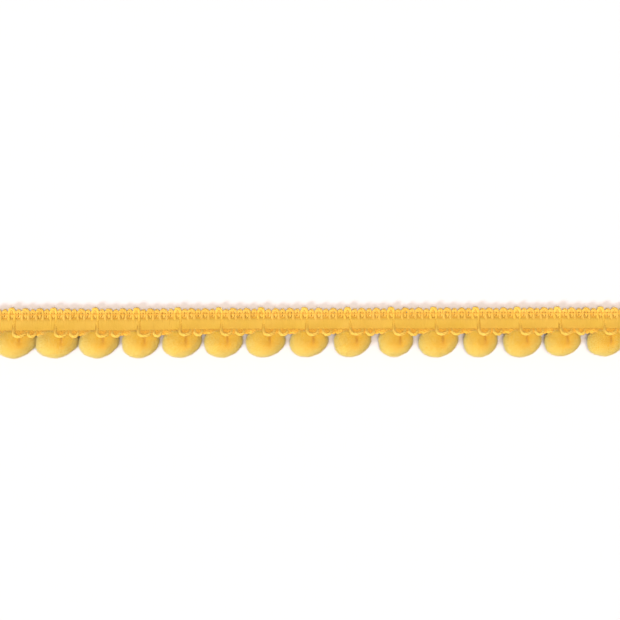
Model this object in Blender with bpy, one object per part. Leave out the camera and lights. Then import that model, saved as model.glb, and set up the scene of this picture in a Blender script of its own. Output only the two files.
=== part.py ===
"""Pompom fringe trim: a cut length lying face up on a table.

A narrow knitted heading has picot loops along its free edge and small loops along the other.
At every third picot the heading's yarn comes down the face as a hanger loop, and each hanger
holds one cut-yarn pompom, tied across its middle so that its locks fan out to both sides.

X runs along the trim, +Y points to the picots and +Z up from the table, in metres. The origin
is on the table, at the middle of the trim's length and of its overall width.
"""

import math
import random

import bmesh
import bpy
from mathutils import Matrix, Vector

MM = 0.001

# Driving dimensions of the whole trim
PITCH = 10.5 * MM
LENGTH = 160.0 * MM
HALF_WIDTH = 6.3 * MM
STITCHES_PER_PITCH = 3

# One row for each pompom, from the left: how far it lies off the even pitch, how wide and how
# low it reaches from the origin's line, and how far its right side is turned up
POMPOM_COLUMNS = ("shift_mm", "width_mm", "drop_mm", "lean_deg")
POMPOM_ROWS = (
    (0.0, 10.0, 6.2, 8),
    (-0.1, 10.2, 6.2, 10),
    (-0.2, 9.7, 6.25, 10),
    (-0.4, 9.6, 6.3, 8),
    (-0.6, 10.1, 6.1, 8),
    (-0.8, 9.8, 6.1, 6),
    (-0.8, 10.1, 6.1, 6),
    (-0.5, 9.9, 5.95, 7),
    (-0.2, 9.5, 6.0, 10),
    (0.1, 8.7, 6.1, 6),
    (0.2, 10.1, 6.15, 8),
    (0.2, 8.5, 6.25, 3),
    (0.1, 9.7, 6.2, 7),
    (-0.4, 9.2, 6.0, 6),
    (-0.1, 9.7, 6.05, 8),
)

# One row for each line along a stitch of the heading: how far it lies from the picot's middle
# in stitches, and its share of the picot's reach and of the rib's relief
STITCH_COLUMNS = ("mark", "picot_share", "rib_share")
STITCH_ROWS = (
    (-0.33, 0.0, 0.0),
    (-0.21, 0.8, 1.0),
    (0.0, 1.0, 0.7),
    (0.21, 0.8, 1.0),
    (0.33, 0.0, 0.0),
)

# Heading: lines across its width, as Y from the origin
TALL_PICOT_TIP = HALF_WIDTH
PICOT_TIP = 6.12 * MM
VALLEY = 5.5 * MM
BEND = 4.9 * MM
RIB_END = 3.95 * MM
HOLE_LINE = 3.45 * MM
BAND_END = 1.15 * MM
CHAIN = 0.75 * MM
LOW_EDGE = 0.35 * MM
LOW_LOOP_TIP = -0.5 * MM
LOW_LOOP_DEPTH = 0.75 * MM

# Heading: thickness and relief
THICKNESS = 1.1 * MM
LOW_EDGE_HEIGHT = 2.6 * MM
RIB_RELIEF = 0.35 * MM
HOLE_RECESS = 0.2 * MM
CHAIN_RELIEF = 0.2 * MM
NOSE = 0.35 * MM

# Places along the heading: a low loop, in stitches from a picot, and a tall picot from its pompom
LOW_LOOP_PHASE = 0.68
TALL_PICOT_OFFSET = -0.9 * MM

# Hanger loop
HANGER_RADIUS = 0.42 * MM
HANGER_TOP = 5.3 * MM
HANGER_ON_RIB = 3.6 * MM
HANGER_OFF_RIB = 3.0 * MM
HANGER_ON_CHAIN = 1.3 * MM
HANGER_LEG = 0.72 * MM
HANGER_BOWL = 1.35 * MM
HANGER_TURN = 0.72 * MM
HANGER_END = 0.45 * MM
HANGER_STEPS = 6

# Pompom
TIE_OFFSET = 1.3 * MM
TIE_Y = -2.1 * MM
BALL_Y = -2.2 * MM
BALL_Z = 3.1 * MM
BALL_HALF_HEIGHT = 3.5 * MM
ROOT_RADIUS = 0.75 * MM
SHORTEST_LOCK = 0.12 * MM
LOCK_GAP = 0.36 * MM
SECTORS = 5
FIRST_SECTOR_DEG = 36.0
CAP_DEG = 46.0
WAIST_DEG = 82.0
SECTOR_JITTER_DEG = 4.0
LENGTH_JITTER = 0.03

# Seats, as clear gaps and the place where a pompom is pressed back by the heading's edge
GAP = 0.3 * MM
UNDER_HEADING = 0.36 * MM
PRESSED_Y = -0.85 * MM
PRESSED_LEAN = 0.5 / 2.3

HEADING_COLOUR = (0.871, 0.497, 0.075, 1.0)
HANGER_COLOUR = (0.905, 0.546, 0.105, 1.0)
POMPOM_COLOUR = (0.922, 0.591, 0.120, 1.0)
YARN_ROUGHNESS = 0.85

RISE = LOW_EDGE_HEIGHT / (BEND - LOW_EDGE)


def yarn(name, colour):
    """A matt yarn finish."""
    material = bpy.data.materials.new(name)
    material.use_nodes = True
    shader = material.node_tree.nodes["Principled BSDF"]
    shader.inputs["Base Color"].default_value = colour
    shader.inputs["Roughness"].default_value = YARN_ROUGHNESS
    shader.inputs["Metallic"].default_value = 0.0
    material.diffuse_color = colour
    return material


def add_object(name, data, material):
    data.materials.append(material)
    made = bpy.data.objects.new(name, data)
    bpy.context.scene.collection.objects.link(made)
    return made


def pompom_specs():
    """The table's rows as dictionaries, in metres and radians, with each pompom's middle."""
    specs = []
    middle_row = len(POMPOM_ROWS) // 2
    for index, row in enumerate(POMPOM_ROWS):
        cells = dict(zip(POMPOM_COLUMNS, row))
        specs.append(
            {
                "x": (index - middle_row) * PITCH + cells["shift_mm"] * MM,
                "half_width": cells["width_mm"] * MM / 2,
                "drop": cells["drop_mm"] * MM,
                "lean": math.radians(cells["lean_deg"]),
            }
        )
    return specs


def place_along(pitches, middles):
    """X at a number of pitches past the first pompom, as uneven as the pompoms' own places."""
    last = len(middles) - 1
    if pitches <= 0:
        return middles[0] + pitches * PITCH
    if pitches >= last:
        return middles[last] + (pitches - last) * PITCH
    index = int(pitches)
    return middles[index] + (pitches - index) * (middles[index + 1] - middles[index])


def underside(y):
    """Height of the heading's back: flat on the table past the bend, then rising to the pompoms."""
    return max(0.0, RISE * (BEND - y))


def heading_section(line, tip):
    """The closed outline across the heading at one line, as (y, z), round the front first."""
    tip = VALLEY + line["picot_share"] * (tip - VALLEY)
    crest = line["rib_share"] * RIB_RELIEF
    turn = 2 * math.pi * (line["mark"] - LOW_LOOP_PHASE)
    low = LOW_LOOP_TIP + LOW_LOOP_DEPTH * (1 - math.cos(turn)) / 2
    front = [
        (tip, THICKNESS / 2),
        (tip - NOSE, THICKNESS + crest),
        (RIB_END, THICKNESS + crest),
        (HOLE_LINE, THICKNESS - HOLE_RECESS),
        (BAND_END, THICKNESS),
        (CHAIN, THICKNESS + CHAIN_RELIEF),
        (LOW_EDGE, THICKNESS),
        (low, THICKNESS / 2),
    ]
    back = [(LOW_EDGE, 0.0), (BEND, 0.0), (tip - NOSE, 0.0)]
    return [(y, underside(y) + lift) for y, lift in front + back]


def heading_sections(middles):
    """Every line along the heading as its x and its outline, with a plain cut at both ends."""
    lines = [dict(zip(STITCH_COLUMNS, row)) for row in STITCH_ROWS]
    end = LENGTH / 2
    sections = [(-end, heading_section(lines[0], PICOT_TIP))]
    for stitch in range(-STITCHES_PER_PITCH, (len(middles) + 1) * STITCHES_PER_PITCH):
        tip = PICOT_TIP if stitch % STITCHES_PER_PITCH else TALL_PICOT_TIP
        for line in lines:
            along = (stitch + line["mark"]) / STITCHES_PER_PITCH
            x = place_along(along, middles) + TALL_PICOT_OFFSET
            if abs(x) < end - GAP:
                sections.append((x, heading_section(line, tip)))
    sections.append((end, heading_section(lines[-1], PICOT_TIP)))
    return sections


def build_heading(middles):
    """The knitted heading, one closed band of quads between two cut ends."""
    mesh = bmesh.new()
    rings = []
    for x, section in heading_sections(middles):
        rings.append([mesh.verts.new((x, y, z)) for y, z in section])
    for left, right in zip(rings, rings[1:]):
        for index in range(len(left)):
            following = (index + 1) % len(left)
            mesh.faces.new((left[index], left[following], right[following], right[index]))
    mesh.faces.new(reversed(rings[0]))
    mesh.faces.new(rings[-1])
    bmesh.ops.recalc_face_normals(mesh, faces=mesh.faces)
    data = bpy.data.meshes.new("heading")
    mesh.to_mesh(data)
    mesh.free()
    return add_object("heading", data, yarn("heading_yarn", HEADING_COLOUR))


def hanger_route(middle):
    """Centre line of one hanger: from the tall picot down the face, then round under the edge."""
    leg_x = middle + TALL_PICOT_OFFSET + HANGER_LEG
    bowl_x = leg_x + HANGER_BOWL
    on_rib = THICKNESS + RIB_RELIEF
    on_chain = THICKNESS + CHAIN_RELIEF
    flat = [
        (leg_x, HANGER_TOP, on_rib),
        (leg_x, HANGER_ON_RIB, on_rib),
        (leg_x, HANGER_OFF_RIB, THICKNESS),
        (leg_x, HANGER_ON_CHAIN, on_chain),
    ]
    for step in range(1, HANGER_STEPS + 1):
        turn = math.pi * step / HANGER_STEPS
        sweep = LOW_EDGE - HANGER_TURN * math.sin(turn)
        flat.append((bowl_x - HANGER_BOWL * math.cos(turn), sweep, on_chain))
    flat.append((bowl_x + HANGER_BOWL, LOW_EDGE + HANGER_END, on_chain))
    seat = (GAP + HANGER_RADIUS) * math.hypot(1, RISE)
    return [Vector((x, y, underside(y) + top + seat)) for x, y, top in flat]


def build_hanger(name, middle, material):
    """One hanger loop, as a curve with a round bevel and closed ends."""
    route = hanger_route(middle)
    curve = bpy.data.curves.new(name, "CURVE")
    curve.dimensions = "3D"
    curve.bevel_depth = HANGER_RADIUS
    curve.bevel_resolution = 1
    curve.use_fill_caps = True
    spline = curve.splines.new("POLY")
    spline.points.add(len(route) - 1)
    for point, place in zip(spline.points, route):
        point.co = (*place, 1.0)
    return add_object(name, curve, material)


def distance_to_plane(start, direction, on_plane, normal):
    """How far along a ray a plane lies, or infinity where the ray never meets it."""
    closing = normal.dot(direction)
    if closing <= 0.0:
        return math.inf
    return max(0.0, normal.dot(on_plane - start)) / closing


def distance_to_ball(start, direction, spec):
    """How far along a ray from inside it the pompom's leaning ellipsoid ends."""
    centre = Vector((spec["x"], BALL_Y, BALL_Z))
    turn = Matrix.Rotation(-spec["lean"], 3, "Z")
    sideways = spec["half_width"] * math.sin(spec["lean"])
    down = math.sqrt((spec["drop"] + BALL_Y) ** 2 - sideways**2) / math.cos(spec["lean"])
    halves = (spec["half_width"], down, BALL_HALF_HEIGHT)
    origin = turn @ (start - centre)
    heading = turn @ direction
    scaled_origin = Vector([value / half for value, half in zip(origin, halves)])
    scaled_heading = Vector([value / half for value, half in zip(heading, halves)])
    a = scaled_heading.length_squared
    b = scaled_origin.dot(scaled_heading)
    c = scaled_origin.length_squared - 1.0
    return (-b + math.sqrt(b * b - a * c)) / a


def lock_length(tie, direction, spec, trim):
    """A lock is trimmed at the ball's outside, or ends at the table or the heading's edge."""
    table = distance_to_plane(tie, direction, Vector((0, 0, 0)), Vector((0, 0, -1)))
    below = Vector((0.0, BEND, -UNDER_HEADING))
    under_heading = distance_to_plane(tie, direction, below, Vector((0, RISE, 1)).normalized())
    pressed = Vector((0.0, PRESSED_Y, BALL_Z))
    lean = Vector((0, 1, PRESSED_LEAN)).normalized()
    before_edge = distance_to_plane(tie, direction, pressed, lean)
    room = max(under_heading, before_edge)
    return min(distance_to_ball(tie, direction, spec) * trim, table, room)


def fan_direction(side, polar, around):
    """Unit direction at an angle off the fan's outward X axis and an angle round it from -Y."""
    spread = math.sin(polar)
    return Vector(
        (side * math.cos(polar), -spread * math.cos(around), spread * math.sin(around))
    )


def lock_rim(tie, corners, spec, trim):
    """The rim of a lock's free end: its corners and the middles between, half a gap inside."""
    middle = sum(corners, Vector()).normalized()
    rim = []
    for index, corner in enumerate(corners):
        between = (corner + corners[(index + 1) % len(corners)]).normalized()
        for aim, inset in ((corner, LOCK_GAP / math.sqrt(2)), (between, LOCK_GAP / 2)):
            reach = lock_length(tie, aim, spec, trim)
            drawn = (aim * reach + (middle - aim).normalized() * inset).normalized()
            longest = max(ROOT_RADIUS + SHORTEST_LOCK, lock_length(tie, drawn, spec, trim))
            rim.append(tie + drawn * longest)
    return rim, tie + middle * lock_length(tie, middle, spec, trim)


def add_lock(mesh, tie, roots, corners, spec, trim):
    """One lock: walls from its root on the tied core to its free end, and the domed end."""
    places, dome = lock_rim(tie, corners, spec, trim)
    rim = [mesh.verts.new(place) for place in places]
    tip = mesh.verts.new(dome)
    for index, root in enumerate(roots):
        following = (index + 1) % len(roots)
        corner, between, next_corner = rim[2 * index], rim[2 * index + 1], rim[2 * following]
        mesh.faces.new((root, roots[following], between))
        mesh.faces.new((root, between, corner))
        mesh.faces.new((roots[following], next_corner, between))
        mesh.faces.new((corner, between, tip))
        mesh.faces.new((between, next_corner, tip))


def build_pompom(name, spec, material, chance):
    """A tied core with two fans of locks, left and right of the tie."""
    tie = Vector((spec["x"] + TIE_OFFSET, TIE_Y, BALL_Z))
    mesh = bmesh.new()
    turn = math.radians(FIRST_SECTOR_DEG + chance.uniform(-1, 1) * SECTOR_JITTER_DEG)
    arounds = [turn + index * 2 * math.pi / SECTORS for index in range(SECTORS)]
    waists = []
    for side in (-1, 1):
        pole = Vector((side, 0, 0))
        pole_root = mesh.verts.new(tie + pole * ROOT_RADIUS)
        cap = [fan_direction(side, math.radians(CAP_DEG), around) for around in arounds]
        waist = [fan_direction(side, math.radians(WAIST_DEG), around) for around in arounds]
        brim = [fan_direction(side, math.pi / 2, around) for around in arounds]
        cap_roots = [mesh.verts.new(tie + aim * ROOT_RADIUS) for aim in cap]
        waist_roots = [mesh.verts.new(tie + aim * ROOT_RADIUS) for aim in waist]
        waists.append(waist_roots)
        for index in range(SECTORS):
            following = (index + 1) % SECTORS
            trim = 1.0 - chance.uniform(0, 1) * LENGTH_JITTER
            roots = (pole_root, cap_roots[index], cap_roots[following])
            add_lock(mesh, tie, roots, (pole, cap[index], cap[following]), spec, trim)
            trim = 1.0 - chance.uniform(0, 1) * LENGTH_JITTER
            roots = (cap_roots[index], waist_roots[index], waist_roots[following])
            roots += (cap_roots[following],)
            corners = (cap[index], brim[index], brim[following], cap[following])
            add_lock(mesh, tie, roots, corners, spec, trim)
    left, right = waists
    for index in range(SECTORS):
        following = (index + 1) % SECTORS
        mesh.faces.new((left[index], left[following], right[following], right[index]))
    bmesh.ops.recalc_face_normals(mesh, faces=mesh.faces)
    data = bpy.data.meshes.new(name)
    mesh.to_mesh(data)
    mesh.free()
    return add_object(name, data, material)


def build_trim():
    """The heading, and one hanger and one pompom for each row of the pompoms' table."""
    specs = pompom_specs()
    middles = [spec["x"] for spec in specs]
    build_heading(middles)
    hanger_yarn = yarn("hanger_yarn", HANGER_COLOUR)
    pompom_yarn = yarn("pompom_yarn", POMPOM_COLOUR)
    chance = random.Random(7)
    for number, spec in enumerate(specs, start=1):
        build_hanger(f"hanger_{number:02d}", spec["x"], hanger_yarn)
        build_pompom(f"pompom_{number:02d}", spec, pompom_yarn, chance)


for leftover in list(bpy.data.objects):
    bpy.data.objects.remove(leftover)
build_trim()
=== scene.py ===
"""Looks of a pompom fringe trim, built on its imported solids.

The heading is knitted from three things: a band of fine wefts lying side by side, a thick
three-ply yarn that makes the picots above and the chain and small loops below, and thin
binding threads that run over both. At every third picot the thick yarn comes down the face
as a hanger, and each hanger holds a pompom of cut, brushed acrylic.

Sizes are in millimetres, which MM turns to Blender's metres.
"""

import math
import random

import bmesh
import bpy
import numpy as np
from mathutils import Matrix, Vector, noise


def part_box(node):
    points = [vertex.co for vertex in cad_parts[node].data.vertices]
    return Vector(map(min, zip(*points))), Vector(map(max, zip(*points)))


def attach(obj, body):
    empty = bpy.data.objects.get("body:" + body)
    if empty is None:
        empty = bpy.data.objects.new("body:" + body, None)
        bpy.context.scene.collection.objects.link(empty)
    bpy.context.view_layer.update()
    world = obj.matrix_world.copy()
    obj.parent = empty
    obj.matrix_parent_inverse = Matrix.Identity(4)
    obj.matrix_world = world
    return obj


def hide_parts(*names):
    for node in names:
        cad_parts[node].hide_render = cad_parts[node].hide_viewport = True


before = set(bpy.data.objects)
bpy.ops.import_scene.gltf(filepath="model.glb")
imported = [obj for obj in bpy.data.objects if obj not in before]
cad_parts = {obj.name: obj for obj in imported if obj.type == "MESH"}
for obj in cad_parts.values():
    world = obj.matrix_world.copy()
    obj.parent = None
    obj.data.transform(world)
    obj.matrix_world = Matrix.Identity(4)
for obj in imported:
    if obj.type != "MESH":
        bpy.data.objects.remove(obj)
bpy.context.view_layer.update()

MM = 0.001

# The heading's form, as its solid has it
BEND = 4.9
LOW_EDGE = 0.35
LOW_EDGE_HEIGHT = 2.6
RISE = LOW_EDGE_HEIGHT / (BEND - LOW_EDGE)
TALL_PICOT_TIP = 6.42
PICOT_TIP = 6.2
BAND_MIDDLE = 2.6
PRESSED_WHOLLY = 1.4
PRESSED_NO_MORE = 2.1
STITCHES = 3
PITCH = 10.5

# How much wider than its solid the heading is drawn, to the left of SAG_X still more
SAG = 0.24
SAG_AT_LEFT = 0.3
SAG_X = -35.0
SAG_BLEND = 6.0
SAG_SPAN = 5.2

# The pompoms to the left of this stand closer together
CLOSER_X = -52.0
CLOSER_BLEND = 2.5

# The hangers' and pompoms' places, as their solids have them
HANGER_RADIUS = 0.42
HANGER_LEG = 0.72
TALL_PICOT_OFFSET = -0.9
TIE_OFFSET = 1.3
TIE_Y = -2.1
BALL_Y = -2.2
BALL_Z = 3.1
BALL_HALF_HEIGHT = 2.8
LEANS_DEG = (8, 10, 10, 8, 8, 6, 6, 7, 10, 6, 8, 3, 7, 6, 8)

# Yarns
PLY_RADIUS = 0.225
PLY_OFFSET = 0.215
PLY_TWIST = 2.4
YARN_RADIUS = PLY_OFFSET + PLY_RADIUS
WEFT_RADIUS = 0.25
WEFT_PITCH = 0.3
THREAD_RADIUS = 0.08

# Least and greatest thickness and length of the fibre ends that stand off a yarn, in metres
HAIR_SHORT = (0.00002, 0.00002, 0.0002)
HAIR_LONG = (0.00003, 0.00003, 0.00045)

# How many of them stand on a square metre of thick and of fine yarn
THICK_YARN_HAIRS = 4.5e6
FINE_YARN_HAIRS = 1.5e6

# How many waves a metre the sway of a yarn has
SWAY_WAVES = 900.0

# A reach longer than anything here, for planes that are never met
FAR = 60.0

# The picture: what it shows from side to side, the line through its middle and its lens
FRAME_WIDTH = 154.3
FRAME_MIDDLE_Y = 5.55
FRAME_LEVEL = 3.0
LENS = 150.0
SENSOR = 36.0
ROLL_DEG = 0.12


def node(tree, kind, inputs=None, **settings):
    """Adds one node with its settings, and fills its inputs with values, sockets or nodes."""
    made = tree.nodes.new(kind)
    for name, value in settings.items():
        setattr(made, name, value)
    for name, value in (inputs or {}).items():
        socket = next(s for s in made.inputs if s.enabled and s.name == name)
        if isinstance(value, bpy.types.Node):
            value = next(s for s in value.outputs if s.enabled)
        if isinstance(value, bpy.types.NodeSocket):
            tree.links.new(value, socket)
        else:
            socket.default_value = value
    return made


def colour(code):
    """An sRGB hex value as a linear RGBA colour."""
    shares = [int(code[i : i + 2], 16) / 255 for i in (1, 3, 5)]
    linear = [s / 12.92 if s <= 0.04045 else ((s + 0.055) / 1.055) ** 2.4 for s in shares]
    return (*linear, 1.0)


def new_material(name, **finish):
    """A Principled material with the finish's own values, its tree and its shader."""
    material = bpy.data.materials.new(name)
    material.use_nodes = True
    tree = material.node_tree
    shader = tree.nodes["Principled BSDF"]
    for label, value in finish.items():
        shader.inputs[label.replace("_", " ").title()].default_value = value
    return material, tree, shader


def tone_in_band(tree, place, tint, tone):
    """The tint, turned to one flat tone within the band's middle, where the yarn lies pressed
    between the wefts.
    """
    across = node(tree, "ShaderNodeSeparateXYZ", {"Vector": place.outputs["Object"]})
    off = node(
        tree,
        "ShaderNodeMath",
        {"Value": across.outputs["Y"]},
        operation="SUBTRACT",
    )
    off.inputs[1].default_value = BAND_MIDDLE * MM
    distance = node(tree, "ShaderNodeMath", {"Value": off}, operation="ABSOLUTE")
    pressed = node(
        tree,
        "ShaderNodeMapRange",
        {"Value": distance, "From Min": PRESSED_NO_MORE * MM, "From Max": PRESSED_WHOLLY * MM},
    )
    return node(
        tree,
        "ShaderNodeMix",
        {"Factor": pressed, "A": tint.outputs[2], "B": colour(tone)},
        data_type="RGBA",
    )


def spun_yarn(name, deep, light, streak, laid_in=None):
    """Spun, dyed polyester: matt, with its fibres in fine streaks along a ply's own length.

    Given laid_in, it takes that one flat tone within the band's middle, in place of its own tint.
    """
    material, tree, shader = new_material(name, roughness=0.8, sheen_weight=0.25)
    shader.inputs["Sheen Tint"].default_value = colour("#FFE6A8")
    coords = node(tree, "ShaderNodeAttribute", attribute_name="yarn_coords")
    stretched = node(
        tree,
        "ShaderNodeMapping",
        {"Vector": coords.outputs["Vector"], "Scale": (1.0, 1.0, 0.15)},
    )
    streaks = node(
        tree,
        "ShaderNodeTexNoise",
        {"Vector": stretched, "Scale": 1 / (streak * MM), "Detail": 2.0},
    )
    # Dye takes a little unevenly from one centimetre to the next
    place = node(tree, "ShaderNodeTexCoord")
    patches = node(
        tree,
        "ShaderNodeTexNoise",
        {"Vector": place.outputs["Object"], "Scale": 1 / (5.0 * MM), "Detail": 1.0},
    )
    total = node(tree, "ShaderNodeMath", operation="ADD")
    tree.links.new(streaks.outputs["Fac"], total.inputs[0])
    tree.links.new(patches.outputs["Fac"], total.inputs[1])
    share = node(
        tree, "ShaderNodeMapRange", {"Value": total, "From Min": 0.7, "From Max": 1.3}
    )
    tint = node(
        tree,
        "ShaderNodeMix",
        {"Factor": share, "A": colour(deep), "B": colour(light)},
        data_type="RGBA",
    )
    bump = node(
        tree,
        "ShaderNodeBump",
        {"Height": streaks.outputs["Fac"], "Strength": 0.7, "Distance": 0.06 * MM},
    )
    if laid_in:
        tint = tone_in_band(tree, place, tint, laid_in)
    tree.links.new(tint.outputs[2], shader.inputs["Base Color"])
    tree.links.new(bump.outputs["Normal"], shader.inputs["Normal"])
    return material


def cut_pile():
    """Cut, brushed acrylic, soft at its tips; its colour is painted deeper at the roots (painted
    shade among the fibres), paler at the tips (painted light through their fine ends) and deeper
    still near the tie (painted shade in the cleft).
    """
    material, tree, shader = new_material("cut_acrylic_pile", roughness=0.75, sheen_weight=0.4)
    shader.inputs["Sheen Roughness"].default_value = 0.5
    shader.inputs["Sheen Tint"].default_value = colour("#FFE9A6")
    tip = node(tree, "ShaderNodeAttribute", attribute_name="tip")
    shade = node(tree, "ShaderNodeAttribute", attribute_name="shade")
    # Each fibre's own random tone (shade) plus its place along the fibre (tip): the ramp paints the
    # roots deeper, as painted shade, and the tips paler, as painted light
    tone_plus_painted_tip_light = node(tree, "ShaderNodeMath", operation="MULTIPLY_ADD")
    tree.links.new(shade.outputs["Fac"], tone_plus_painted_tip_light.inputs[0])
    tone_plus_painted_tip_light.inputs[1].default_value = 0.35
    tree.links.new(tip.outputs["Fac"], tone_plus_painted_tip_light.inputs[2])
    ramp = node(tree, "ShaderNodeValToRGB", {"Fac": tone_plus_painted_tip_light})
    stops = ramp.color_ramp.elements
    stops[0].position, stops[0].color = 0.0, colour("#E3B92E")
    stops[1].position, stops[1].color = 1.2 / 1.35, colour("#F5DF86")
    middle = stops.new(0.45)
    middle.color = colour("#E7CA48")
    # Near the tie the colour is mixed towards a deeper orange: painted shade in the cleft
    cleft_shade = node(tree, "ShaderNodeAttribute", attribute_name="cleft_shade")
    tint = node(
        tree,
        "ShaderNodeMix",
        {"Factor": cleft_shade.outputs["Fac"], "A": ramp.outputs["Color"], "B": colour("#E0A42C")},
        data_type="RGBA",
    )
    tree.links.new(tint.outputs[2], shader.inputs["Base Color"])
    return material


def matt_card():
    """Matt white card: nearly white, with no gloss to show the lights in."""
    material, _, shader = new_material("matt_white_card", roughness=0.9)
    shader.inputs["Base Color"].default_value = colour("#E3E4E8")
    shader.inputs["Specular IOR Level"].default_value = 0.2
    return material


def underside(y):
    """Height of the heading's back over the surface: flat past the bend, then rising."""
    return max(0.0, RISE * (BEND - y))


def sagged(x, y):
    """The Y that a place of the heading has there: the photo shows it wider to the left."""
    wider = SAG + SAG_AT_LEFT * (0.5 - 0.5 * math.tanh((x - SAG_X) / SAG_BLEND))
    return y - wider * max(0.0, PICOT_TIP - y) / SAG_SPAN


def laid(x, y, height):
    """A point at a height over the heading's back, in metres."""
    lower = sagged(x, y)
    return Vector((x, lower, underside(lower) + height)) * MM


def through(points, steps):
    """Points on a smooth curve through the given ones."""
    padded = [2 * points[0] - points[1], *points, 2 * points[-1] - points[-2]]
    curve = []
    for a, b, c, d in zip(padded, padded[1:], padded[2:], padded[3:]):
        for step in range(steps):
            t = step / steps
            linear = (c - a) * t
            square = (2 * a - 5 * b + 4 * c - d) * t * t
            cube = (3 * b - a - 3 * c + d) * t**3
            curve.append(b + (linear + square + cube) / 2)
    curve.append(points[-1])
    return curve


def new_tree(name, inputs):
    """An empty Geometry Nodes tree with named inputs, and its group input node."""
    tree = bpy.data.node_groups.new(name, "GeometryNodeTree")
    tree.interface.new_socket("Geometry", in_out="INPUT", socket_type="NodeSocketGeometry")
    for label, kind in inputs.items():
        tree.interface.new_socket(label, in_out="INPUT", socket_type=f"NodeSocket{kind}")
    tree.interface.new_socket("Geometry", in_out="OUTPUT", socket_type="NodeSocketGeometry")
    return tree, node(tree, "NodeGroupInput")


def end_tree(tree, geometry, material):
    """Ends a tree in plain geometry, shaded smooth, in its material."""
    real = node(tree, "GeometryNodeRealizeInstances", {"Geometry": geometry})
    smooth = node(tree, "GeometryNodeSetShadeSmooth", {"Geometry": real})
    done = node(tree, "GeometryNodeSetMaterial", {"Geometry": smooth, "Material": material})
    node(tree, "NodeGroupOutput", {"Geometry": done})


def spike(tree):
    """One fibre, a unit thick and long: a three-sided cone that is open at its root."""
    return node(
        tree,
        "GeometryNodeMeshCone",
        {"Vertices": 3, "Radius Top": 0.0, "Radius Bottom": 0.5, "Depth": 1.0},
        fill_type="NONE",
    )


def leaned(tree, upright, low, high, seed):
    """The upright rotation, leaned and turned at random between the two limits."""
    tilt = node(
        tree,
        "FunctionNodeRandomValue",
        {"Min": low, "Max": high, "Seed": seed},
        data_type="FLOAT_VECTOR",
    )
    turn = node(tree, "FunctionNodeEulerToRotation", {"Euler": tilt})
    return node(
        tree,
        "FunctionNodeRotateRotation",
        {"Rotation": upright, "Rotate By": turn},
        rotation_space="LOCAL",
    )


def with_loose_ends(tree, yarn, density):
    """The yarn with short fibre ends standing off it, as spun yarn has."""
    points = node(
        tree, "GeometryNodeDistributePointsOnFaces", {"Mesh": yarn, "Density": density}
    )
    leaning = leaned(tree, points.outputs["Rotation"], (-1.2, -1.2, -3.0), (1.2, 1.2, 3.0), 0)
    size = node(
        tree,
        "FunctionNodeRandomValue",
        {"Min": HAIR_SHORT, "Max": HAIR_LONG},
        data_type="FLOAT_VECTOR",
    )
    hairs = node(
        tree,
        "GeometryNodeInstanceOnPoints",
        {"Points": points, "Instance": spike(tree), "Rotation": leaning, "Scale": size},
    )
    joined = node(tree, "GeometryNodeJoinGeometry", {"Geometry": hairs})
    tree.links.new(yarn.outputs[0], joined.inputs[0])
    return joined


def swayed(tree, line, amount):
    """The line with each point moved a little aside, as no yarn lies quite even."""
    wander = node(tree, "ShaderNodeTexNoise", {"Scale": SWAY_WAVES, "Detail": 1.0})
    centred = node(
        tree,
        "ShaderNodeVectorMath",
        {"Vector": wander.outputs["Color"]},
        operation="SUBTRACT",
    )
    centred.inputs[1].default_value = (0.5, 0.5, 0.5)
    sway = node(
        tree,
        "ShaderNodeVectorMath",
        {"Vector": centred, "Scale": amount},
        operation="SCALE",
    )
    return node(tree, "GeometryNodeSetPosition", {"Geometry": line, "Offset": sway})


def ply_direction(tree, turns, start, normal, side):
    """Where a ply stands around its yarn: a direction that turns along the line."""
    angle = node(tree, "ShaderNodeMath", {"Value": turns}, operation="MULTIPLY_ADD")
    angle.inputs[1].default_value = 2 * math.pi
    angle.inputs[2].default_value = start
    cosine = node(tree, "ShaderNodeMath", {"Value": angle}, operation="COSINE")
    sine = node(tree, "ShaderNodeMath", {"Value": angle}, operation="SINE")
    out = node(
        tree,
        "ShaderNodeVectorMath",
        {"Vector": normal.outputs[0], "Scale": cosine},
        operation="SCALE",
    )
    across = node(
        tree, "ShaderNodeVectorMath", {"Vector": side, "Scale": sine}, operation="SCALE"
    )
    both = node(tree, "ShaderNodeVectorMath", operation="ADD")
    tree.links.new(out.outputs[0], both.inputs[0])
    tree.links.new(across.outputs[0], both.inputs[1])
    return both


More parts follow.
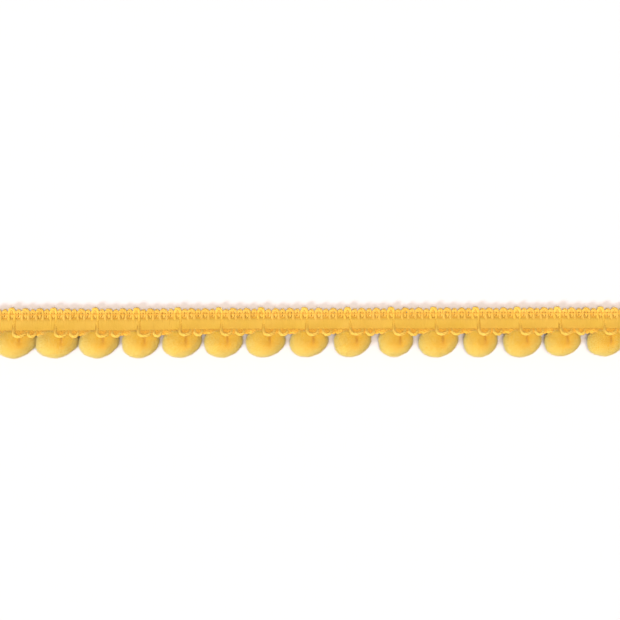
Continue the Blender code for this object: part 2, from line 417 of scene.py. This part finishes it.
def plied_yarn_tree(name, plies, sides, loose_ends):
    """Follows each guide line with twisted plies, and keeps each point's place in its ply."""
    kinds = {
        "Segment": "Float",
        "Ply radius": "Float",
        "Ply offset": "Float",
        "Twist": "Float",
        "Unevenness": "Float",
        "Material": "Material",
    }
    tree, start = new_tree(name, kinds)
    given = start.outputs
    line = node(tree, "GeometryNodeMeshToCurve", {"Mesh": given["Geometry"]})
    line = node(
        tree,
        "GeometryNodeResampleCurve",
        {"Curve": line, "Length": given["Segment"]},
        mode="LENGTH",
    )
    line = swayed(tree, line, given["Unevenness"])
    length = node(tree, "GeometryNodeSplineParameter").outputs["Length"]
    line = node(
        tree,
        "GeometryNodeStoreNamedAttribute",
        {"Geometry": line, "Name": "along", "Value": length},
        data_type="FLOAT",
    )
    normal = node(tree, "GeometryNodeInputNormal")
    tangent = node(tree, "GeometryNodeInputTangent")
    side = node(tree, "ShaderNodeVectorMath", operation="CROSS_PRODUCT")
    tree.links.new(tangent.outputs[0], side.inputs[0])
    tree.links.new(normal.outputs[0], side.inputs[1])
    turns = node(tree, "ShaderNodeMath", operation="DIVIDE")
    tree.links.new(length, turns.inputs[0])
    tree.links.new(given["Twist"], turns.inputs[1])
    ring = node(
        tree,
        "GeometryNodeCurvePrimitiveCircle",
        {"Resolution": sides, "Radius": given["Ply radius"]},
    )
    ring = node(
        tree,
        "GeometryNodeStoreNamedAttribute",
        {"Geometry": ring, "Name": "ring", "Value": node(tree, "GeometryNodeInputPosition")},
        data_type="FLOAT_VECTOR",
    )
    joined = node(tree, "GeometryNodeJoinGeometry")
    for ply in range(plies):
        both = ply_direction(tree, turns, 2 * math.pi * ply / plies, normal, side)
        offset = node(
            tree,
            "ShaderNodeVectorMath",
            {"Vector": both, "Scale": given["Ply offset"]},
            operation="SCALE",
        )
        strand = node(tree, "GeometryNodeSetPosition", {"Geometry": line, "Offset": offset})
        tube = node(
            tree,
            "GeometryNodeCurveToMesh",
            {"Curve": strand, "Profile Curve": ring, "Fill Caps": True},
        )
        tree.links.new(tube.outputs[0], joined.inputs[0])
    along = node(tree, "GeometryNodeInputNamedAttribute", {"Name": "along"}, data_type="FLOAT")
    around = node(
        tree, "GeometryNodeInputNamedAttribute", {"Name": "ring"}, data_type="FLOAT_VECTOR"
    )
    lengthways = node(tree, "ShaderNodeCombineXYZ", {"Z": along})
    coords = node(tree, "ShaderNodeVectorMath", operation="ADD")
    tree.links.new(around.outputs["Attribute"], coords.inputs[0])
    tree.links.new(lengthways.outputs[0], coords.inputs[1])
    kept = node(
        tree,
        "GeometryNodeStoreNamedAttribute",
        {"Geometry": joined, "Name": "yarn_coords", "Value": coords},
        data_type="FLOAT_VECTOR",
    )
    end_tree(tree, with_loose_ends(tree, kept, loose_ends), given["Material"])
    return tree


def pile_tree():
    """Stands cut fibres on a pompom's core, fanning from its tie, and marks roots and tips."""
    kinds = {
        "Tie": "Vector",
        "Density": "Float",
        "Thickness": "Float",
        "Longest": "Float",
        "Spread": "Float",
        "Seed": "Int",
        "Material": "Material",
    }
    tree, start = new_tree("cut_pile", kinds)
    given = start.outputs
    shown = node(tree, "GeometryNodeInputNamedAttribute", {"Name": "shown"}, data_type="FLOAT")
    density = node(
        tree, "ShaderNodeMath", {"Value": shown.outputs["Attribute"]}, operation="MULTIPLY"
    )
    tree.links.new(given["Density"], density.inputs[1])
    points = node(
        tree,
        "GeometryNodeDistributePointsOnFaces",
        {"Mesh": given["Geometry"], "Density": density, "Seed": given["Seed"]},
    )
    outward = node(tree, "ShaderNodeVectorMath", operation="SUBTRACT")
    tree.links.new(node(tree, "GeometryNodeInputPosition").outputs[0], outward.inputs[0])
    tree.links.new(given["Tie"], outward.inputs[1])
    fan = node(tree, "ShaderNodeVectorMath", {"Vector": outward}, operation="NORMALIZE")
    facing = node(tree, "ShaderNodeVectorMath", operation="ADD")
    tree.links.new(fan.outputs[0], facing.inputs[0])
    tree.links.new(points.outputs["Normal"], facing.inputs[1])
    upright = node(tree, "FunctionNodeAlignRotationToVector", {"Vector": facing}, axis="Z")
    low = node(
        tree,
        "ShaderNodeVectorMath",
        {"Vector": (-1.0, -1.0, -6.0), "Scale": given["Spread"]},
        operation="SCALE",
    )
    high = node(
        tree,
        "ShaderNodeVectorMath",
        {"Vector": (1.0, 1.0, 6.0), "Scale": given["Spread"]},
        operation="SCALE",
    )
    leaning = leaned(tree, upright, low, high, given["Seed"])
    free = node(tree, "GeometryNodeInputNamedAttribute", {"Name": "free"}, data_type="FLOAT")
    some = node(
        tree,
        "FunctionNodeRandomValue",
        {"Min": 0.55, "Max": 1.0, "Seed": given["Seed"]},
        data_type="FLOAT",
    )
    reach = node(tree, "ShaderNodeMath", operation="MULTIPLY")
    tree.links.new(free.outputs["Attribute"], reach.inputs[0])
    tree.links.new(some.outputs[1], reach.inputs[1])
    length = node(tree, "ShaderNodeMath", {"Value": reach}, operation="MULTIPLY")
    tree.links.new(given["Longest"], length.inputs[1])
    size = node(
        tree,
        "ShaderNodeCombineXYZ",
        {"X": given["Thickness"], "Y": given["Thickness"], "Z": length},
    )
    height = node(tree, "ShaderNodeSeparateXYZ", {"Vector": node(tree, "GeometryNodeInputPosition")})
    marked = node(
        tree,
        "GeometryNodeStoreNamedAttribute",
        {"Geometry": spike(tree), "Name": "tip", "Value": height.outputs["Z"]},
        data_type="FLOAT",
    )
    fibres = node(
        tree,
        "GeometryNodeInstanceOnPoints",
        {"Points": points, "Instance": marked, "Rotation": leaning, "Scale": size},
    )
    own = node(
        tree,
        "FunctionNodeRandomValue",
        {"Min": 0.0, "Max": 1.0, "Seed": given["Seed"]},
        data_type="FLOAT",
    )
    toned = node(
        tree,
        "GeometryNodeStoreNamedAttribute",
        {"Geometry": fibres, "Name": "shade", "Value": own},
        data_type="FLOAT",
        domain="INSTANCE",
    )
    joined = node(tree, "GeometryNodeJoinGeometry", {"Geometry": toned})
    tree.links.new(given["Geometry"], joined.inputs[0])
    end_tree(tree, joined, given["Material"])
    return tree


def grown(name, mesh, tree, values):
    """Runs a tree on a guide mesh and keeps what it makes as a plain mesh object."""
    guide = bpy.data.objects.new(f"{name}_guide", mesh)
    bpy.context.scene.collection.objects.link(guide)
    modifier = guide.modifiers.new("tree", "NODES")
    modifier.node_group = tree
    for item in tree.interface.items_tree:
        if item.in_out == "INPUT" and item.name in values:
            modifier[item.identifier] = values[item.name]
    bpy.context.view_layer.update()
    graph = bpy.context.evaluated_depsgraph_get()
    made = bpy.data.objects.new(name, bpy.data.meshes.new_from_object(guide.evaluated_get(graph)))
    bpy.context.scene.collection.objects.link(made)
    bpy.data.objects.remove(guide)
    return made


def guide_lines(name, routes):
    """Routes as one mesh of edges."""
    points = []
    edges = []
    for route in routes:
        first = len(points)
        points.extend(route)
        edges.extend((first + i, first + i + 1) for i in range(len(route) - 1))
    mesh = bpy.data.meshes.new(name)
    mesh.from_pydata(points, edges, [])
    return mesh


def yarn_piece(name, routes, tree, material, **sizes):
    """A piece of yarn along the routes that lie within the heading's cut ends."""
    inside = [r for r in routes if all(cut_low < p.x < cut_high for p in r)]
    values = {label.replace("_", " ").capitalize(): size * MM for label, size in sizes.items()}
    values["Material"] = material
    return settled(grown(name, guide_lines(name, inside), tree, values))


def stitch_x(stitch):
    """X of a place counted in stitches from the first tall picot, as uneven as the solids."""
    pitches = stitch / STITCHES
    last = len(tall_picots) - 1
    if pitches <= 0:
        return tall_picots[0] + pitches * PITCH
    if pitches >= last:
        return tall_picots[last] + (pitches - last) * PITCH
    index = int(pitches)
    return tall_picots[index] + (pitches - index) * (tall_picots[index + 1] - tall_picots[index])


def arch(x, half, foot_y, top_y, foot_height, leg_height, top_height):
    """A picot: up one leg, over the top and down the other, with both feet tucked in."""
    shoulder = top_y - 0.35 * half
    left = [
        (x - 0.92 * half, foot_y, foot_height),
        (x - 0.97 * half, foot_y + 0.45, (foot_height + leg_height) / 2),
        (x - half, (foot_y + top_y) / 2, leg_height),
        (x - 0.9 * half, shoulder - 0.3, (leg_height + top_height) / 2),
        (x - 0.55 * half, shoulder + 0.12, top_height),
    ]
    right = [(2 * x - px, y, h) for px, y, h in reversed(left)]
    return through([laid(*p) for p in [*left, (x, top_y, top_height), *right]], 4)


def stitches():
    """Every stitch over the heading and a little past its cut ends."""
    return range(-2 * STITCHES, (len(tall_picots) + 2) * STITCHES)


def picot_routes(chance):
    """The picots between the tall ones, which belong to the hangers."""
    routes = []
    for stitch in stitches():
        if stitch % STITCHES or not 0 <= stitch < len(tall_picots) * STITCHES:
            x = stitch_x(stitch) + chance.uniform(-0.08, 0.08)
            top = PICOT_TIP - YARN_RADIUS + chance.uniform(-0.08, 0.06)
            half = 0.82 + chance.uniform(-0.05, 0.05)
            routes.append(arch(x, half, 3.35, top, 0.7, 1.1, 1.4))
    return routes


def valley_routes(chance):
    """The same yarn's back passes, which close the gaps between the picots."""
    routes = []
    for stitch in stitches():
        x = stitch_x(stitch + 0.5) + chance.uniform(-0.06, 0.06)
        top = 5.98 - YARN_RADIUS + chance.uniform(-0.06, 0.06)
        routes.append(arch(x, 0.42, 4.0, top, 0.6, 1.0, 1.3))
    return routes


def filling_routes(chance):
    """Short passes that lie inside the picots."""
    routes = []
    for stitch in stitches():
        x = stitch_x(stitch) + chance.uniform(-0.05, 0.05)
        points = [(x, 3.95, 0.5), (x + 0.04, 4.4, 1.0), (x, 4.9, 1.08), (x - 0.03, 5.45, 1.0)]
        routes.append(through([laid(*p) for p in points], 4))
    return routes


def hanger_routes(chance):
    """A tall picot, whose right leg comes down the face and turns under the edge in a U."""
    routes = []
    for x in tall_picots:
        top = TALL_PICOT_TIP - YARN_RADIUS
        leg = x + HANGER_LEG
        wide = 2.65 + chance.uniform(-0.2, 0.35)
        low = -0.22 + chance.uniform(-0.06, 0.06)
        points = [
            (x - 0.6, 3.35, 0.7),
            (x - 0.68, 3.85, 0.9),
            (x - 0.71, 4.7, 1.08),
            (x - 0.64, 5.3, 1.25),
            (x - 0.37, top - 0.12, 1.42),
            (x + 0.02, top, 1.45),
            (x + 0.4, top - 0.16, 1.42),
            (x + 0.68, 5.3, 1.24),
            (leg, 4.6, 1.06),
            (leg + 0.02, 3.8, 0.74),
            (leg + 0.04, 2.9, 0.6),
            (leg + 0.02, 2.0, 0.7),
            (leg, 1.2, 1.12),
            (leg + 0.03, 0.62, 1.65),
            (leg + 0.1 * wide, 0.15, 2.05),
            (leg + 0.28 * wide, low + 0.1, 2.25),
            (leg + 0.5 * wide, low, 2.25),
            (leg + 0.73 * wide, low + 0.13, 2.1),
            (leg + 0.93 * wide, 0.2, 1.8),
            (leg + wide, 0.5, 1.3),
            (leg + 0.97 * wide, 0.95, 0.6),
        ]
        routes.append(through([laid(*p) for p in points], 4))
    return routes


def low_loop_routes(chance):
    """The small loops along the lower edge, where no hanger turns."""
    routes = []
    for stitch in stitches():
        if stitch % STITCHES:
            # The one that the next pompom's pile covers lies closer and shorter
            covered = 1 if stitch % STITCHES == 2 else 0
            x = stitch_x(stitch + 0.57) + chance.uniform(-0.12, 0.12)
            low = -0.22 + 0.6 * covered + chance.uniform(-0.05, 0.04)
            half = 0.95 + chance.uniform(-0.08, 0.08)
            rise = 1.9 - 1.0 * covered
            left = [
                (x - 0.95 * half, 1.0, 0.5),
                (x - half, 0.7, 0.95 - 0.3 * covered),
                (x - 0.92 * half, 0.28 + 0.25 * covered, rise - 0.1),
                (x - 0.58 * half, low + 0.14, rise),
            ]
            right = [(2 * x - px, y, h - 0.1) for px, y, h in reversed(left)]
            routes.append(through([laid(*p) for p in [*left, (x, low, rise), *right]], 4))
    return routes


def low_chain_routes(chance):
    """Two rows of the thick yarn, which close the lower edge behind the loops."""
    routes = []
    for y, sway, height in ((0.66, 0.16, 1.0), (0.3, 0.14, 1.05)):
        points = []
        for stitch in stitches():
            for index in range(6):
                x = stitch_x(stitch + index / 6) + chance.uniform(-0.05, 0.05)
                side = sway if index % 2 else -sway
                points.append(laid(x, y + side, height + chance.uniform(-0.12, 0.12)))
        inner = [p for p in points if cut_low + 0.5 * MM < p.x < cut_high - 0.5 * MM]
        routes.append(through(inner, 3))
    return routes


def weft_routes(chance, low_height, high_height):
    """Fine wefts lying side by side across the band, each a little domed."""
    routes = []
    x = cut_low / MM
    while x < cut_high / MM:
        x += WEFT_PITCH * chance.uniform(0.94, 1.06)
        slant = chance.uniform(-0.03, 0.03)
        rise = high_height + chance.uniform(-0.02, 0.02) - low_height
        points = []
        for y, share in ((3.55, 0.0), (3.2, 0.85), (2.4, 1.0), (1.4, 1.0), (1.05, 0.8), (0.8, 0.0)):
            points.append(laid(x + slant * (y - 2.1), y, low_height + share * rise))
        routes.append(through(points, 2))
    return routes


def binding_route(y, sway, heights):
    """One thread that runs along the heading, over and between the legs of every stitch."""
    points = []
    for stitch in stitches():
        for index, height in enumerate(heights):
            x = stitch_x(stitch + index / len(heights))
            side = sway if index % 2 else -sway
            points.append(laid(x, y + side, height))
    inner = [p for p in points if cut_low + 0.3 * MM < p.x < cut_high - 0.3 * MM]
    return through(inner, 2)


def under_hanger(x):
    """Whether a weft at that X would run where a hanger's leg lies, or in the gap on its left."""
    return any(-0.47 < x - picot - HANGER_LEG < 0.28 for picot in tall_picots)


def short_weft_routes():
    """The weft on a hanger's left, which shows only in the upper half of the band."""
    routes = []
    for picot in tall_picots:
        x = picot + HANGER_LEG - 0.36
        points = [(x, 3.55, 0.6), (x, 3.2, 0.78), (x, 2.6, 0.8), (x + 0.03, 2.2, 0.55)]
        routes.append(through([laid(*p) for p in points], 2))
    return routes


def band_core(material):
    """The hidden layer between the front and back wefts, closed at the plain cut ends."""
    section = [(0.35, 0.3), (3.6, 0.3), (4.85, 0.25)]
    section += [(4.85, 0.6), (4.0, 0.55), (3.85, 0.36), (3.45, 0.36), (3.3, 0.55)]
    section += [(0.9, 0.7), (0.35, 0.5)]
    mesh = bmesh.new()
    ends = []
    for x in (cut_low, cut_high):
        ends.append([mesh.verts.new((x, *laid(0, y, h).yz)) for y, h in section])
    for index in range(len(section)):
        following = (index + 1) % len(section)
        quad = (ends[0][index], ends[0][following], ends[1][following], ends[1][index])
        mesh.faces.new(quad)
    mesh.faces.new(reversed(ends[0]))
    mesh.faces.new(ends[1])
    bmesh.ops.recalc_face_normals(mesh, faces=mesh.faces)
    data = bpy.data.meshes.new("band_core")
    mesh.to_mesh(data)
    mesh.free()
    data.materials.append(material)
    made = bpy.data.objects.new("band_core", data)
    bpy.context.scene.collection.objects.link(made)
    return made


def plane_reach(aims, distance, normal):
    """How far along each aim a plane at that distance lies, or FAR where it is never met."""
    closing = aims @ (normal / np.linalg.norm(normal))
    return np.minimum(distance / np.maximum(closing, distance / FAR), FAR)


def smoother(value, low, high):
    """0 under low, 1 over high and an eased step between."""
    share = np.clip((value - low) / (high - low), 0.0, 1.0)
    return share * share * (3 - 2 * share)


def ball_reach(aims, tie, centre, halves, lean):
    """How far along each aim from the tie the leaning ellipsoid ends."""
    turn = np.array(
        [
            [math.cos(lean), math.sin(lean), 0.0],
            [-math.sin(lean), math.cos(lean), 0.0],
            [0.0, 0.0, 1.0],
        ]
    )
    start = (turn @ (tie - centre)) / halves
    headings = (aims @ turn.T) / halves
    a = (headings**2).sum(axis=1)
    b = headings @ start
    c = start @ start - 1.0
    return (-b + np.sqrt(b * b - a * c)) / a


def pile_room(aims, tie, ball):
    """How far the pile gets along each aim between its neighbours, and how freely it stands."""
    table = plane_reach(aims, tie[2], np.array([0.0, 0.0, -1.0]))
    slope = np.array([0.0, RISE, 1.0])
    room_below = (RISE * (BEND - tie[1]) - 0.25 - tie[2]) / np.linalg.norm(slope)
    under = plane_reach(aims, room_below, slope)
    # Before the heading's edge the pile slopes down to it, and on the left it reaches over it
    slope_down = np.array([0.0, 1.0, 2.0])
    pressed = np.array([0.0, -0.2, 4.3]) - [0.0, tie[1], tie[2]]
    over = 0.75 * smoother(-aims[:, 0], 0.46, 0.62)
    slope = plane_reach(aims, (pressed @ slope_down + over) / np.linalg.norm(slope_down), slope_down)
    wall = plane_reach(aims, 0.3 - tie[1], np.array([0.0, 1.0, 0.0]))
    steep = smoother(aims[:, 2] / np.maximum(aims[:, 1], 1e-3), 0.32, 0.42)
    edge = np.minimum(slope, wall + (slope - wall) * steep)
    room = np.minimum(table, np.maximum(under, edge))
    soft = 0.45
    reach = -soft * np.log(np.exp(-ball / soft) + np.exp(-room / soft))
    pressed_on = wall + (FAR - wall) * steep
    blocked = np.minimum(table, np.where(edge > under, pressed_on, under))
    # The hanger holds the pile short and flat near the heading
    held = 0.6 * smoother(aims[:, 1], -0.2, 0.5) * smoother(aims[:, 2], 0.1, 0.4)
    free = smoother(blocked / ball, 1.0, 1.3) * (1 - held)
    return reach, free


def mark(data, name, values):
    """Keeps a value for each point of the mesh under that name."""
    kept = data.attributes.new(name, "FLOAT", "POINT")
    kept.data.foreach_set("value", values.astype(np.float32))


def pompom_core(number, tie, centre, halves, lean, apart):
    """A pompom's dense middle: its outline seen from the tie, with clumps and the tied cleft."""
    mesh = bmesh.new()
    bmesh.ops.create_icosphere(mesh, subdivisions=4, radius=1.0)
    aims = np.array([v.co for v in mesh.verts])
    aims /= np.linalg.norm(aims, axis=1)[:, None]
    ball = ball_reach(aims, tie, centre, halves, lean)
    reach, free = pile_room(aims, tie, ball)
    cleft = 0.03 + 0.2 * smoother(aims[:, 1], -0.6, 0.3)
    reach *= 1 - cleft * np.exp(-((aims[:, 0] / 0.15) ** 2))
    # The lower right is cut a little closer, and so is the side towards the neighbour
    reach *= 1 - 0.05 * smoother(aims @ np.array([0.66, -0.75, 0.0]), 0.6, 1.0)
    beside = smoother(-aims[:, 0], 0.75, 0.93) * smoother(aims[:, 1], -0.5, -0.1)
    reach *= 1 - 0.06 * apart * beside
    for index, vertex in enumerate(mesh.verts):
        aim = Vector(aims[index])
        seat = Vector((number * 7.0, 0.0, 0.0))
        lump = 0.03 * noise.noise(aim * 2.2 + seat)
        clump = 0.02 * noise.noise(Vector((aim.x * 3.0, aim.y * 9.0, aim.z * 9.0)) + seat)
        scale = 1 + (lump + clump) * free[index] - 0.04 * free[index] - 0.02
        vertex.co = Vector(tie + aims[index] * reach[index] * scale) * MM
    bmesh.ops.recalc_face_normals(mesh, faces=mesh.faces)
    data = bpy.data.meshes.new("pompom_core")
    mesh.to_mesh(data)
    mesh.free()
    # Where neighbours stand close, the pile between them is pushed up and out
    loose = 1 + 0.7 * (1 - apart) * smoother(np.abs(aims[:, 0]), 0.7, 0.95)
    mark(data, "free", (0.25 + 0.75 * free) * loose)
    # The pile that faces the surface or the heading's back can be thinner
    shown = (0.35 + 0.65 * free) * (0.4 + 0.6 * smoother(tie[2] + aims[:, 2] * reach, 0.8, 2.6))
    mark(data, "shown", shown)
    # Towards the tie, in the cleft under the hanger, the pile is painted a deeper orange: painted
    # shade
    cleft_shade = 0.6 * np.exp(-((aims[:, 0] / 0.22) ** 2)) * smoother(aims[:, 1], -0.9, 0.2)
    mark(data, "cleft_shade", cleft_shade)
    return data


def settled(made):
    """Bends the lowest fibres along the surface, so that none goes through it."""
    mesh = made.data
    places = np.zeros(len(mesh.vertices) * 3)
    mesh.vertices.foreach_get("co", places)
    heights = places[2::3]
    soft = 0.15 * MM
    low = heights < soft
    heights[low] = soft * np.exp((heights[low] - soft) / soft)
    mesh.vertices.foreach_set("co", places)
    mesh.update()
    return made


def build_pompom(number, name, tree, material):
    """One pompom, on the outline of its own solid."""
    low, high = (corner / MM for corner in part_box(name))
    lean = math.radians(LEANS_DEG[number])
    middle = tall_picots[number] - TALL_PICOT_OFFSET
    half_width = (high.x - low.x) / 2 + 0.1
    drop = -low.y + 0.05
    down = math.sqrt((drop + BALL_Y) ** 2 - (half_width * math.sin(lean)) ** 2)
    halves = np.array([half_width, down / math.cos(lean), BALL_HALF_HEIGHT])
    tie = np.array([middle + TIE_OFFSET, TIE_Y, BALL_Z])
    centre = np.array([middle, BALL_Y, BALL_Z])
    # The photo shows the leftmost few closer together
    apart = 0.5 + 0.5 * math.tanh((middle - CLOSER_X) / CLOSER_BLEND)
    core = pompom_core(number, tie, centre, halves, lean, apart)
    values = {
        "Tie": Vector(tie) * MM,
        "Density": 1.05e8,
        "Thickness": 0.085 * MM,
        "Longest": 0.65 * MM,
        "Spread": 0.3,
        "Seed": number,
        "Material": material,
    }
    pompom = settled(grown(name.replace("pompom", "pompom_pile"), core, tree, values))
    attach(pompom, "root")
    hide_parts(name)


def keep(piece):
    """The piece moves with the trim."""
    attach(piece, "root")
    return piece


def build_heading():
    """The heading's layers, from the hidden core out."""
    chance = random.Random(11)
    thick = spun_yarn("three_ply_polyester", "#E0B846", "#EAC45C", 0.16)
    # The loops and the hanger are the same thick yarn as the picots, painted paler: painted light
    # where they lie below the band; in the band the hanger takes one flat tone
    pale = spun_yarn("loop_polyester_painted_paler", "#E9C24A", "#F2CE5E", 0.16)
    hanger_painted_paler = spun_yarn("hanger_polyester_painted_paler", "#E9C24A", "#F2CE5E", 0.16, laid_in="#E8C24A")
    # The chain is the same thick yarn again, painted a deeper orange: painted shade in the groove
    # between the band and the pompoms
    deep = spun_yarn("chain_polyester_painted_shade", "#EDB93C", "#F2C146", 0.16)
    fine = spun_yarn("fine_weft_polyester", "#EAC54A", "#F0CA58", 0.3)
    thread = spun_yarn("binding_thread", "#E8B23A", "#F0BC46", 0.12)
    plied = plied_yarn_tree("three_ply_yarn", 3, 6, THICK_YARN_HAIRS)
    single = plied_yarn_tree("single_yarn", 1, 6, FINE_YARN_HAIRS)
    stout = {
        "segment": 0.23,
        "ply_radius": PLY_RADIUS,
        "ply_offset": PLY_OFFSET,
        "twist": PLY_TWIST,
        "unevenness": 0.12,
    }
    slim = {
        "segment": 0.24,
        "ply_radius": THREAD_RADIUS,
        "ply_offset": 0.0,
        "twist": PLY_TWIST,
        "unevenness": 0.08,
    }
    weft = {**slim, "segment": 0.42, "ply_radius": WEFT_RADIUS, "unevenness": 0.05}
    core = keep(band_core(fine))
    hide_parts("heading")
    front = weft_routes(chance, 0.62, 0.84)
    front = [r for r in front if not under_hanger(r[0].x / MM)]
    front += short_weft_routes()
    back = weft_routes(chance, 0.42, 0.27)
    keep(yarn_piece("front_wefts", front, single, fine, **weft))
    keep(yarn_piece("back_wefts", back, single, fine, **weft))
    picots = picot_routes(chance) + valley_routes(chance) + filling_routes(chance)
    keep(yarn_piece("picot_yarn", picots, plied, thick, **stout))
    loops = low_loop_routes(chance)
    keep(yarn_piece("low_loop_yarn", loops, plied, pale, **stout))
    chain = low_chain_routes(chance)
    keep(yarn_piece("low_chain_yarn", chain, plied, deep, **stout))
    threads = [
        binding_route(4.68, 0.02, (1.48, 1.54, 1.48, 1.44, 1.48, 1.54)),
        binding_route(0.92, 0.05, (1.0, 0.96, 1.0, 0.96, 1.0, 0.96)),
    ]
    keep(yarn_piece("binding_threads", threads, single, thread, **slim))
    hangers = hanger_routes(chance)
    hanging = keep(yarn_piece("hanger_yarn", hangers, plied, hanger_painted_paler, **stout))
    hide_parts(*hanger_names)


def build_camera():
    """Straight above, with the picots at the top of the picture."""
    data = bpy.data.cameras.new("camera")
    data.lens = LENS
    data.sensor_width = SENSOR
    data.sensor_fit = "HORIZONTAL"
    camera = bpy.data.objects.new("camera", data)
    above = FRAME_LEVEL + FRAME_WIDTH * LENS / SENSOR
    camera.location = Vector((0.0, FRAME_MIDDLE_Y, above)) * MM
    camera.rotation_euler = (0.0, 0.0, math.radians(-ROLL_DEG))
    bpy.context.scene.collection.objects.link(camera)
    bpy.context.scene.camera = camera


def build_light():
    """A lamp from the lower left, softer ones from the right and above, and a pale surround."""
    lamps = (
        ("key", (-0.75, -0.62, 0.68), 2.15, 16, "#EAF3FF"),
        ("side", (0.5, -0.42, 0.757), 0.4, 35, "#EEF6FF"),
        ("fill", (0.02, -0.03, 1.0), 2.35, 20, "#FFEEE0"),
    )
    for name, towards, strength, breadth_deg, tint in lamps:
        data = bpy.data.lights.new(name, "SUN")
        data.energy = strength
        data.angle = math.radians(breadth_deg)
        data.color = colour(tint)[:3]
        lamp = bpy.data.objects.new(name, data)
        lamp.rotation_euler = Vector(towards).to_track_quat("Z", "Y").to_euler()
        bpy.context.scene.collection.objects.link(lamp)
    world = bpy.data.worlds.new("studio")
    world.use_nodes = True
    background = world.node_tree.nodes["Background"]
    background.inputs["Color"].default_value = colour("#FFE2D2")
    background.inputs["Strength"].default_value = 0.3
    bpy.context.scene.world = world
    bpy.context.scene.view_settings.view_transform = "Standard"


def build_floor():
    """A plain pale floor under the trim."""
    mesh = bmesh.new()
    bmesh.ops.create_grid(mesh, x_segments=1, y_segments=1, size=1500 * MM)
    data = bpy.data.meshes.new("floor")
    mesh.to_mesh(data)
    mesh.free()
    data.materials.append(matt_card())
    floor = bpy.data.objects.new("floor", data)
    bpy.context.scene.collection.objects.link(floor)


hanger_names = sorted(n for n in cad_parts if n.startswith("hanger"))
pompom_names = sorted(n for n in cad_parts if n.startswith("pompom"))
tall_picots = [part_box(n)[0].x / MM + HANGER_RADIUS - HANGER_LEG for n in hanger_names]
cut_low, cut_high = (corner.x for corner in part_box("heading"))

build_camera()
build_light()
build_floor()
build_heading()
pile = pile_tree()
acrylic = cut_pile()
for index, pompom_name in enumerate(pompom_names):
    build_pompom(index, pompom_name, pile, acrylic)
